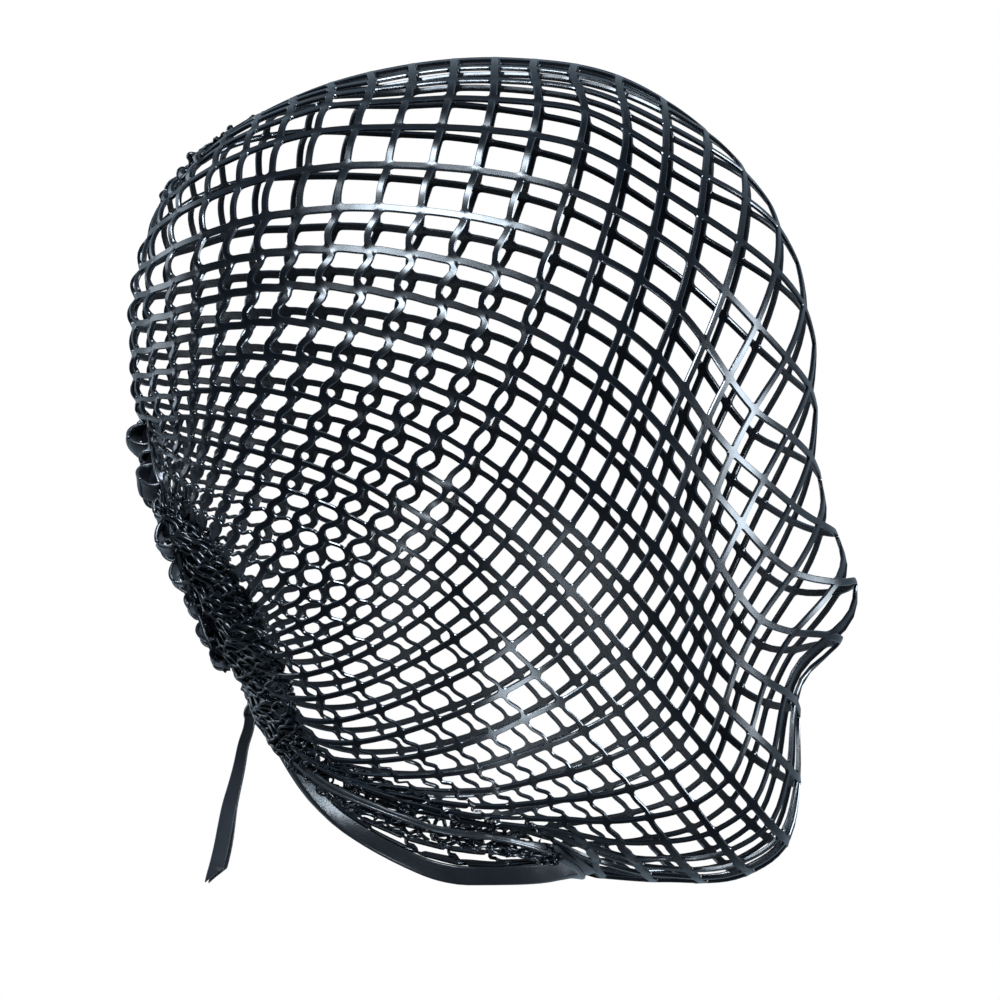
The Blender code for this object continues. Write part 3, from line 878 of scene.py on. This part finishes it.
def lattice_piece(lattice, name, wanted):
    """The cells whose (column, row, side) is wanted, as one object."""
    verts, faces, slots = [], [], []
    base = 0
    for corners, _, key in lattice.cells:
        if not wanted(key):
            continue
        rings, sign = cell_rings(lattice, corners)
        m = len(rings[0])
        verts.append(np.concatenate(rings))
        for k, slot in enumerate(BAND_SLOTS):
            here, ahead = base + k * m, base + (k + 1) * m
            for x in range(m):
                y = (x + 1) % m
                face = (here + x, here + y, ahead + y, ahead + x)
                faces.append(face if sign > 0 else face[::-1])
                slots.append(slot)
        base += len(rings) * m
    obj = new_object(name, np.concatenate(verts), faces, [NET_TOP, NET_EDGE_PAINTED_HIGHLIGHT, NET_INNER], slots)
    weld(obj)
    shade(obj.data, 42)
    return obj


LATTICE = build_lattice()
net = lattice_piece(LATTICE, "open_lattice", lambda k: not in_gather(k))
gather_right = lattice_piece(LATTICE, "bunched_lattice_right",
                             lambda k: in_gather(k) and k[2] < 0)
gather_left = lattice_piece(LATTICE, "bunched_lattice_left", lambda k: in_gather(k) and k[2] > 0)

# ---------------------------------------------------------------- net folded up on edge
# Stations down each nape clump: its free edge, then its edge on the net side as x, z. The free
# edge is s along the back edge, or x, y, z (y on the left, mirrored on the right).
GATHER_LINE = [
    (0.34, (-87.5, 104.5)), (0.50, (-76, 92)), (0.62, (-71.5, 83)), (0.76, (-66.5, 72)),
    (0.90, (-61, 62.5)), ((-71.6, 11, 56.5), (-57, 53)), ((-69.0, 12, 49.5), (-55.5, 46)),
    ((-64.2, 17, 42), (-53, 40)), ((-58.5, 26, 34), (-50, 34)), ((-52, 35, 28), (-45, 30))]
# The crumpled strip above the rolled-up hem on the right: s along the hem, upper edge as x, z
CRUMPLE_LINE = [
    (0.93, (-56.8, 41.0)), (0.84, (-47.5, 35.5)), (0.74, (-36.0, 29.0)), (0.63, (-22.7, 23.2)),
    (0.52, (-10.0, 18.0)), (0.42, (1.5, 14.0)), (0.32, (11.0, 11.0)), (0.20, (20.0, 8.0))]
CRUMPLE_DROP = 1.2      # how far its lower edge hangs over the hem, at most

# Section of a cell wall: a squarish ring of unit half size
WALL_SIDES = 8
_ANGLES = np.linspace(0, 2 * np.pi, WALL_SIDES, endpoint=False) + np.pi / 8
WALL_SECTION = np.stack([np.sign(f) * np.abs(f)**0.7
                         for f in (np.cos(_ANGLES), np.sin(_ANGLES))], 1)
WALL_STATIONS = np.linspace(0, 1, 6)


def gather_station(k, side):
    free, (x, z) = GATHER_LINE[k]
    if isinstance(free, float):
        edge = back_edge(free, side)
    else:
        edge = np.array([free[0], side * free[1], free[2]])
    edge = edge - unit(edge - HEAD) * (2.2 * rise(k, 1, 3))
    return edge, side_point(x, z) * np.array([1, -side, 1])


def crumple_station(k):
    s, (x, z) = CRUMPLE_LINE[k]
    drop = CRUMPLE_DROP * math.sin(math.pi * k / (len(CRUMPLE_LINE) - 1))
    return hem_low(s, -1.0) - np.array([0, 0, drop]), side_point(x, z)


def clump_crossings(stations, step, cells_across, bulge, mess, layer):
    """Where the walls of one layer meet, as {(index along, index across): (place, outward)}."""
    first = np.array([q[0] for q in stations])
    second = np.array([q[1] for q in stations])
    along = path_length((first + second) / 2)
    cells_along = int(along[-1] / step)
    flatter_from = along[min(8, len(stations) - 1)]
    crossings = {}
    for ia in range(cells_along + 1):
        for ib in range(cells_across + 1):
            if (ia + ib + layer) % 2:
                continue
            u = along[-1] * (ia + 0.55 * mess * (chance(ia, ib, layer, 21) - 0.5)) / cells_along
            v = (ib + 0.55 * mess * (chance(ia, ib, layer, 22) - 0.5)) / cells_across
            v = min(max(v * 1.04 - 0.02, 0.0), 1.0)
            p = (np.array([np.interp(u, along, first[:, c]) for c in range(3)]) * (1 - v)
                 + np.array([np.interp(u, along, second[:, c]) for c in range(3)]) * v)
            n = unit(p - HEAD)
            arch = math.sin(math.pi * v)
            lump = (0.9 * math.sin(u * 0.62 + 1.4 * ib) + 0.8 * math.sin(u * 0.27 - 0.9 * ib + 1.0)
                    + 0.9 * mess * (chance(ia, ib, layer, 23) - 0.5))
            raised = (0.7 + bulge * arch * (0.55 if u > flatter_from else 1.0)
                      - (1.9 + 0.9 * (1 - mess)) * layer)
            crossings[(ia, ib)] = (p + n * (raised + lump * (0.4 + 0.6 * arch)), n)
    return crossings


def clump_wall(start, end, key, tall, wide, mess):
    """Vertices of one wall standing on edge between two crossings."""
    (p, n), (q, m) = start, end
    t = unit(q - p)
    outward = unit(n + m)
    outward = unit(outward - (outward @ t) * t)
    lean = (chance(*key, 25) - 0.5) * mess
    up = outward * math.cos(lean) + np.cross(outward, t) * math.sin(lean)
    across = np.cross(up, t)
    sway = (0.35 + 0.5 * chance(*key, 26)) * (1 if key[0] % 4 < 2 else -1)
    arch = np.sin(np.pi * WALL_STATIONS)
    line = (p + (q - p) * WALL_STATIONS[:, None] + across * (sway * arch)[:, None]
            + outward * (0.5 * (chance(*key, 27) - 0.3) * arch)[:, None])
    half = wide + 0.20 * np.abs(np.cos(np.pi * WALL_STATIONS))
    rings = (line[:, None, :] + WALL_SECTION[None, :, :1] * across * half[:, None, None]
             + WALL_SECTION[None, :, 1:] * up * tall)
    return rings.reshape(-1, 3)


def clump(name, stations, step, cells_across, tall, wide, bulge, lost, mess):
    """Rows of small cells with walls on edge, in two layers, on a bulging and folded sheet.

    step is the cell length, tall and wide are half sizes of a wall, lost is the share of walls
    left out and mess is how irregular it all is.
    """
    verts, faces = [], []
    base = 0
    for layer in (0, 1):
        crossings = clump_crossings(stations, step, cells_across, bulge, mess, layer)
        for (ia, ib), start in sorted(crossings.items(), key=lambda item: item[0]):
            for da in (1, -1):
                end = crossings.get((ia + da, ib + 1))
                if end is None or chance(ia, ib, da + 2, layer, 24) < lost:
                    continue
                verts.append(clump_wall(start, end, (ia, ib, da + 2), tall, wide, mess))
                faces += tube_faces(len(WALL_STATIONS), WALL_SIDES, base)
                base += len(WALL_STATIONS) * WALL_SIDES
    obj = new_object(name, np.concatenate(verts), faces, [FOLD_MAT])
    turn_faces_out(obj)
    shade(obj.data, 60)
    return obj


join_into(gather_right, clump(
    "clump_right", [gather_station(k, -1.0) for k in range(len(GATHER_LINE))],
    step=1.6, cells_across=7, tall=0.62, wide=0.34, bulge=3.2, lost=0.04, mess=0.35))
join_into(gather_left, clump(
    "clump_left", [gather_station(k, 1.0) for k in range(8)],
    step=1.85, cells_across=6, tall=0.95, wide=0.50, bulge=2.4, lost=0.06, mess=1.0))
join_into(net, clump(
    "crumple", [crumple_station(k) for k in range(len(CRUMPLE_LINE))],
    step=2.4, cells_across=5, tall=0.60, wide=0.28, bulge=1.2, lost=0.16, mess=0.8))
register(net, "lattice_net")
register(gather_right, "net_gather_right")
register(gather_left, "net_gather_left")

# ---------------------------------------------------------------- neck hem
# A flat band, rolled up into a rope on the wearer's right, with a bead along its outside
HEM_STEPS = 90              # stations on each side
HEM_END = 0.965             # s at which it stops short of the nape
HEM_THICK, HEM_ROUNDING = 1.7, 0.75
BEAD_HEIGHT, BEAD_THICK, BEAD_ROUNDING = 1.5, 1.3, 0.6
BEAD_TRIM = 3               # stations by which the bead is shorter at each end

# from -1 at the left end through 0 at the throat to 1 at the right end
HEM_PLACES = np.linspace(-1, 1, 2 * HEM_STEPS + 1)
HEM_BOTTOM = np.array([hem_low(abs(v) * HEM_END, 1.0 if v < 0 else -1.0) for v in HEM_PLACES])
HEM_UP = np.array([hem_up(abs(v) * HEM_END) for v in HEM_PLACES])


def hem_outward():
    out = np.cross(HEM_UP, unit(np.gradient(HEM_BOTTOM, axis=0)))
    centre = np.array([HEM_MID_X, 0.0, 10.0])
    for k in range(len(out)):
        if out[k] @ (HEM_BOTTOM[k] - centre) < 0:
            out[k] = -out[k]
    return unit(out)


HEM_OUT = hem_outward()
# how far each station is rolled up
HEM_ROLL = smooth((HEM_PLACES - 0.10) / 0.25) * smooth((1.0 - HEM_PLACES) / 0.12)


def hem_profile(i):
    flat = rounded(HEM_HEIGHT, HEM_THICK, HEM_ROUNDING)
    angle = np.arctan2(flat[:, 1] / HEM_THICK, flat[:, 0] / HEM_HEIGHT)
    rope = (np.stack([np.cos(angle), np.sin(angle) * 0.95], 1)
            * (1 + 0.14 * np.sin(i * 0.9) + 0.09 * np.sin(i * 2.3 + 1)))
    return flat * (1 - HEM_ROLL[i]) + rope * HEM_ROLL[i]


def bead_profile(i):
    size = 1 - 0.45 * HEM_ROLL[i + BEAD_TRIM]
    return rounded(BEAD_HEIGHT, BEAD_THICK, BEAD_ROUNDING) * size


hem = sweep("neck_hem", HEM_BOTTOM + HEM_UP * (HEM_HEIGHT / 2), HEM_UP, HEM_OUT, hem_profile,
            HEM_MAT)
register(hem, "neck_hem_band")
bead_line = (HEM_BOTTOM + HEM_UP * (1.15 + 0.9 * HEM_ROLL)[:, None]
             + HEM_OUT * (0.95 + 0.9 * HEM_ROLL)[:, None])
kept = slice(BEAD_TRIM, -BEAD_TRIM)
bead = sweep("neck_hem_bead", bead_line[kept], HEM_UP[kept], HEM_OUT[kept], bead_profile, LIP_MAT)
register(bead, "neck_hem_lip")

# ---------------------------------------------------------------- ruffled back edge
BAND_THICK, LOOP_THICK = 1.1, 1.05
BAND_END = 0.90             # s at which the band stops
# Loops of the ruffle: s along the edge, radius, degrees its mouth is tipped up, length
LOOPS = [
    (0.02, 1.9, 20, 4.4), (0.115, 3.7, 38, 6.2), (0.235, 2.3, 8, 4.6), (0.345, 4.1, 52, 6.8),
    (0.455, 2.4, 24, 5.0), (0.555, 3.6, 30, 6.2), (0.675, 3.3, 12, 5.6), (0.775, 2.3, 26, 5.0),
    (0.87, 2.4, 5, 4.8), (0.955, 2.0, 20, 4.2)]


def sheet(name, grid, thick):
    """A closed skin of even thickness round a grid of points, with bevelled rims."""
    nu, nv = grid.shape[:2]
    normal = unit(np.cross(np.gradient(grid, axis=0), np.gradient(grid, axis=1)))
    top, bottom = grid + normal * thick / 2, grid - normal * thick / 2
    verts = np.concatenate([top.reshape(-1, 3), bottom.reshape(-1, 3)])
    off = nu * nv
    faces = []

    def rim(a, b):
        faces.append((a, b, off + b, off + a))

    for i in range(nu - 1):
        for j in range(nv - 1):
            a, b = i * nv + j, (i + 1) * nv + j
            faces.append((a, b, b + 1, a + 1))
            faces.append((off + a + 1, off + b + 1, off + b, off + a))
    for i in range(nu - 1):
        rim((i + 1) * nv, i * nv)
        rim(i * nv + nv - 1, (i + 1) * nv + nv - 1)
    for j in range(nv - 1):
        rim(j, j + 1)
        rim((nu - 1) * nv + j + 1, (nu - 1) * nv + j)
    obj = new_object(name, verts, faces, [BAND_MAT])
    obj.data.shade_smooth()
    bevel = obj.modifiers.new("Bevel", "BEVEL")
    bevel.width = thick * 0.3 * 0.001
    bevel.segments = 2
    bevel.limit_method = "ANGLE"
    bevel.angle_limit = math.radians(50)
    return obj


def loop_grid(side, k):
    """One loop of the ruffle: a short open roll standing off the edge."""
    s, radius, tip, length = LOOPS[k]
    if side > 0:
        radius *= 0.92 + 0.16 * chance(k, 3, 9)
        tip = tip * 0.6 + 20 * chance(k, 5, 9)
    tip = math.radians(tip)
    edge = back_edge(s, side)
    outward = unit(edge - HEAD)
    axis = unit(np.array([-0.12, side * math.cos(tip), math.sin(tip)]))
    e1 = unit(outward - (outward @ axis) * axis)
    e2 = np.cross(axis, e1)
    middle = edge + outward * (radius * (0.30 - 0.34 * smooth((s - 0.5) / 0.2))) + axis * 0.4
    stations, around = 9, 40
    rows = []
    for u in range(stations):
        f = u / (stations - 1.0) - 0.5
        flare = 1 + 0.16 * f + 0.05 * math.sin(5 * f + k)
        row = []
        for q in range(around):
            b = 2 * math.pi * q / (around - 1.0) * 0.985 + 0.4
            r = radius * flare * (1 + 0.07 * math.sin(2 * b + 1.3 * k)
                                  + 0.04 * math.sin(3 * b + k + 2 * f))
            row.append(middle + axis * (length * f * (1 + 0.10 * math.sin(b + k)))
                       + r * (math.cos(b) * e1 + 1.06 * math.sin(b) * e2))
        rows.append(row)
    return np.array(rows)


def band_grid(side):
    """The band itself, lying in shallow folds between the loops."""
    stations, across = 90, 7
    rows = []
    for u in range(stations):
        s = BAND_END * u / (stations - 1.0)
        edge = back_edge(s, side)
        to_net = unit(back_offset(s, side))
        outward = unit(edge - HEAD)
        fold = (0.9 * math.sin(s * 60 + 1) + 0.5 * math.sin(s * 97)
                - 1.6 * smooth((s - 0.5) / 0.2))
        rows.append([edge + to_net * (4.4 * (1 - v / (across - 1.0)) - 0.6)
                     + outward * (0.6 + fold * (v / (across - 1.0)) + 0.5)
                     for v in range(across)])
    return np.array(rows)


def ruffled_edge():
    """Band and loops of both sides, with their bevels applied, in one object."""
    parts = []
    for side in (-1, 1):
        parts.append(sheet("edge_base", band_grid(side), BAND_THICK))
        for k in range(len(LOOPS)):
            parts.append(sheet("edge_roll", loop_grid(side, k), LOOP_THICK))
    # leaves nothing selected, the loaded pieces included
    bpy.ops.object.select_all(action="DESELECT")
    depsgraph = bpy.context.evaluated_depsgraph_get()
    bm = bmesh.new()
    for part in parts:
        evaluated = part.evaluated_get(depsgraph)
        bm.from_mesh(evaluated.to_mesh())
        evaluated.to_mesh_clear()
    mesh = bpy.data.meshes.new("ruffled_edge")
    bm.to_mesh(mesh)
    bm.free()
    for part in parts:
        bpy.data.objects.remove(part)
    mesh.materials.append(BAND_MAT)
    shade(mesh, 50)
    obj = bpy.data.objects.new("ruffled_edge", mesh)
    bpy.context.scene.collection.objects.link(obj)
    return obj


register(ruffled_edge(), "back_edge_band")

# ---------------------------------------------------------------- knot
KNOT_CENTRE = np.array([-66.3, 0.0, 52.0])
KNOT_RADIUS, KNOT_FLATNESS = 1.95, 0.72     # of the cord it is tied from
KNOT_STATIONS, KNOT_SIDES = 140, 14


def tie_knot():
    turn = np.linspace(0, 2 * np.pi, KNOT_STATIONS)
    points = KNOT_CENTRE + np.stack([2.0 * np.sin(3 * turn),
                                     4.6 * np.sin(turn) + 1.6 * np.sin(2 * turn),
                                     3.3 * np.cos(turn) - 1.7 * np.cos(2 * turn)], 1)
    tangent = unit(np.gradient(points, axis=0))
    u = unit(np.cross(tangent[0], [0.2, 0.9, 0.3]))
    axis_u = []
    for t in tangent:
        u = unit(u - (u @ t) * t)
        axis_u.append(u)
    angle = np.linspace(0, 2 * np.pi, KNOT_SIDES, endpoint=False)
    section = np.stack([np.cos(angle) * KNOT_RADIUS,
                        np.sin(angle) * KNOT_RADIUS * KNOT_FLATNESS], 1)
    return sweep("tie_knot", points, axis_u, np.cross(tangent, axis_u), lambda i: section,
                 KNOT_MAT)


register(tie_knot(), "nape_knot")

# ---------------------------------------------------------------- ties
# Line the ties hang along, from the knot down: x, z
TIE_LINE = np.array([
    (-68.3, 46.0), (-68.6, 43.0), (-70, 41.2), (-71.1, 34.2), (-72.5, 28.3), (-74.2, 22.4),
    (-75.3, 16.5), (-76.4, 10.6), (-77.8, 4.8), (-79.2, 0.6)])
TIE_Y = 2.6                             # distance of each tie from the middle plane
TIE_TOP, TIE_JOINT, TIE_END = 47.5, 39.6, 0.6      # z of its root, its division and its tip
TIE_THICK, TIE_ROUNDING = 1.45, 0.55
TIE_WIDTH, TIE_WIDENING = 3.0, 1.2      # at the root, and what is added on the way down
LEFT_TIE_FORWARD = 0.9                  # shift in x of the lower part of the left tie
CUT_FROM, CUT_DEPTH = 0.87, 0.93        # slanted tip: where it starts and its share of the width
# Blur that rounds the bends of the line
BLUR_SHIFTS = np.linspace(-6, 6, 25)
BLUR_WEIGHTS = np.exp(-(BLUR_SHIFTS / 3.0)**2)
BLUR_WEIGHTS /= BLUR_WEIGHTS.sum()


def tie_x(z):
    return float(sum(w * np.interp(z + dz, TIE_LINE[::-1, 1], TIE_LINE[::-1, 0])
                     for w, dz in zip(BLUR_WEIGHTS, BLUR_SHIFTS)))


def tie_part(name, side, z_top, z_end, steps, slanted):
    centres, widths = [], []
    for k in range(steps + 1):
        z = z_top + (z_end - z_top) * k / steps
        forward = LEFT_TIE_FORWARD * smooth((30 - z) / 20.0) if side > 0 else 0.0
        centres.append((tie_x(z) + forward, side * TIE_Y, z))
        widths.append(TIE_WIDTH + TIE_WIDENING * smooth((46 - z) / 30.0))
    centres = np.array(centres)
    tangent = unit(np.gradient(centres, axis=0))
    sideways = np.array([0, 1.0, 0])
    forwards = unit(np.cross(sideways, tangent))
    forwards[forwards[:, 0] < 0] *= -1

    def profile(i):
        width = widths[i]
        p = rounded(width, TIE_THICK, TIE_ROUNDING, steps=5)
        if slanted:
            cut = max(0.0, (i / steps - CUT_FROM) / (1 - CUT_FROM))
            p[:, 0] = np.minimum(p[:, 0], width / 2 - cut * width * CUT_DEPTH)
            p[:, 0] = np.maximum(p[:, 0], -width / 2)
        return p

    return sweep(name, centres, forwards, np.tile(sideways, (steps + 1, 1)), profile, TIE_MAT)


for label, side in (("right", -1.0), ("left", 1.0)):
    root = tie_part("tie_upper_" + label, side, TIE_TOP, TIE_JOINT, steps=24, slanted=False)
    tail = tie_part("tie_hanging_" + label, side, TIE_JOINT, TIE_END, steps=70, slanted=True)
    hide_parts("tie_root_" + label)
    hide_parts("tie_tail_" + label)
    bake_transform(root)
    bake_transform(tail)

# ---------------------------------------------------------------- stage, light and camera (metres)
scene = bpy.context.scene
scene.view_settings.view_transform = "Standard"
scene.view_settings.look = "None"
WHITE = (1, 1, 1, 1)
FLOOR_HALF, FLOOR_Z = 0.9, -0.0006


def floor_material():
    """White, seen only by the camera and only from above; clear to every other ray."""
    material = bpy.data.materials.new("pale_floor")
    tree = empty_tree(material)
    link = tree.links.new
    output = tree.nodes.new("ShaderNodeOutputMaterial")
    glow = tree.nodes.new("ShaderNodeEmission")
    glow.inputs["Color"].default_value = WHITE
    glow.inputs["Strength"].default_value = 0.97
    clear = tree.nodes.new("ShaderNodeBsdfTransparent")
    path = tree.nodes.new("ShaderNodeLightPath")
    geometry = tree.nodes.new("ShaderNodeNewGeometry")
    front = tree.nodes.new("ShaderNodeMath")
    front.operation = "SUBTRACT"
    front.use_clamp = True
    link(path.outputs["Is Camera Ray"], front.inputs[0])
    link(geometry.outputs["Backfacing"], front.inputs[1])
    pick = tree.nodes.new("ShaderNodeMixShader")
    link(front.outputs[0], pick.inputs["Fac"])
    link(clear.outputs[0], pick.inputs[1])
    link(glow.outputs[0], pick.inputs[2])
    link(pick.outputs[0], output.inputs[0])
    return material


def build_floor():
    mesh = bpy.data.meshes.new("floor")
    corners = ((-1, -1), (1, -1), (1, 1), (-1, 1))
    mesh.from_pydata([(x * FLOOR_HALF, y * FLOOR_HALF, FLOOR_Z) for x, y in corners],
                     [], [(0, 1, 2, 3)])
    floor = bpy.data.objects.new("floor", mesh)
    scene.collection.objects.link(floor)
    mesh.materials.append(floor_material())
    floor.visible_shadow = False


def build_world():
    """White to the camera; as light, bluish, bright towards +Y and dim on the camera's side."""
    world = bpy.data.worlds.new("studio")
    scene.world = world
    tree = empty_tree(world)
    link = tree.links.new
    output = tree.nodes.new("ShaderNodeOutputWorld")
    seen = tree.nodes.new("ShaderNodeBackground")
    seen.inputs["Color"].default_value = WHITE
    seen.inputs["Strength"].default_value = 1.0
    lighting = tree.nodes.new("ShaderNodeBackground")
    lighting.inputs["Color"].default_value = (0.64, 0.82, 1.0, 1)
    coords = tree.nodes.new("ShaderNodeTexCoord")
    axes = tree.nodes.new("ShaderNodeSeparateXYZ")
    link(coords.outputs["Generated"], axes.inputs[0])
    ramp = tree.nodes.new("ShaderNodeMapRange")
    ramp.interpolation_type = "SMOOTHSTEP"
    ramp.inputs["From Min"].default_value = -0.25
    ramp.inputs["From Max"].default_value = 0.75
    ramp.inputs["To Min"].default_value = 0.11
    ramp.inputs["To Max"].default_value = 0.46
    link(axes.outputs["Y"], ramp.inputs["Value"])
    link(ramp.outputs["Result"], lighting.inputs["Strength"])
    path = tree.nodes.new("ShaderNodeLightPath")
    mix = tree.nodes.new("ShaderNodeMixShader")
    link(path.outputs["Is Camera Ray"], mix.inputs["Fac"])
    link(lighting.outputs[0], mix.inputs[1])
    link(seen.outputs[0], mix.inputs[2])
    link(mix.outputs[0], output.inputs[0])


def softbox(name, place, aim, size, power):
    data = bpy.data.lights.new(name, "AREA")
    data.shape = "RECTANGLE"
    data.size, data.size_y = size
    data.energy = power
    data.color = (0.76, 0.88, 1.0)
    light = bpy.data.objects.new(name, data)
    scene.collection.objects.link(light)
    light.location = place
    light.rotation_euler = (Vector(aim) - Vector(place)).to_track_quat("-Z", "Y").to_euler()


def build_camera():
    """Looks from the wearer's right, a little from below."""
    azimuth, elevation = math.radians(0.9), math.radians(-2.4)
    target, distance = Vector((0.00168, 0.0, 0.1081)), 1.2
    data = bpy.data.cameras.new("camera")
    data.type = "ORTHO"
    data.ortho_scale = 0.28
    camera = bpy.data.objects.new("camera", data)
    scene.collection.objects.link(camera)
    back = Vector((math.sin(azimuth) * math.cos(elevation),
                   -math.cos(azimuth) * math.cos(elevation), math.sin(elevation)))
    right = Vector((math.cos(azimuth), math.sin(azimuth), 0))
    turn = Matrix((right, back.cross(right), back)).transposed().to_4x4()
    camera.matrix_world = Matrix.Translation(target + back * distance) @ turn
    scene.camera = camera


build_floor()
build_world()
softbox("overhead", place=(-0.14, -0.68, 0.93), aim=(0, 0, 0.14), size=(0.46, 0.35), power=21.5)
softbox("front", place=(1.08, -0.08, 0.20), aim=(0, 0, 0.12), size=(0.36, 0.56), power=15.5)
softbox("low_side", place=(0.11, -0.78, -0.50), aim=(0, 0, 0.10), size=(0.24, 0.15), power=3.4)
softbox("rear", place=(-1.0, 0.55, 0.45), aim=(0, 0, 0.12), size=(0.6, 0.7), power=4.0)
build_camera()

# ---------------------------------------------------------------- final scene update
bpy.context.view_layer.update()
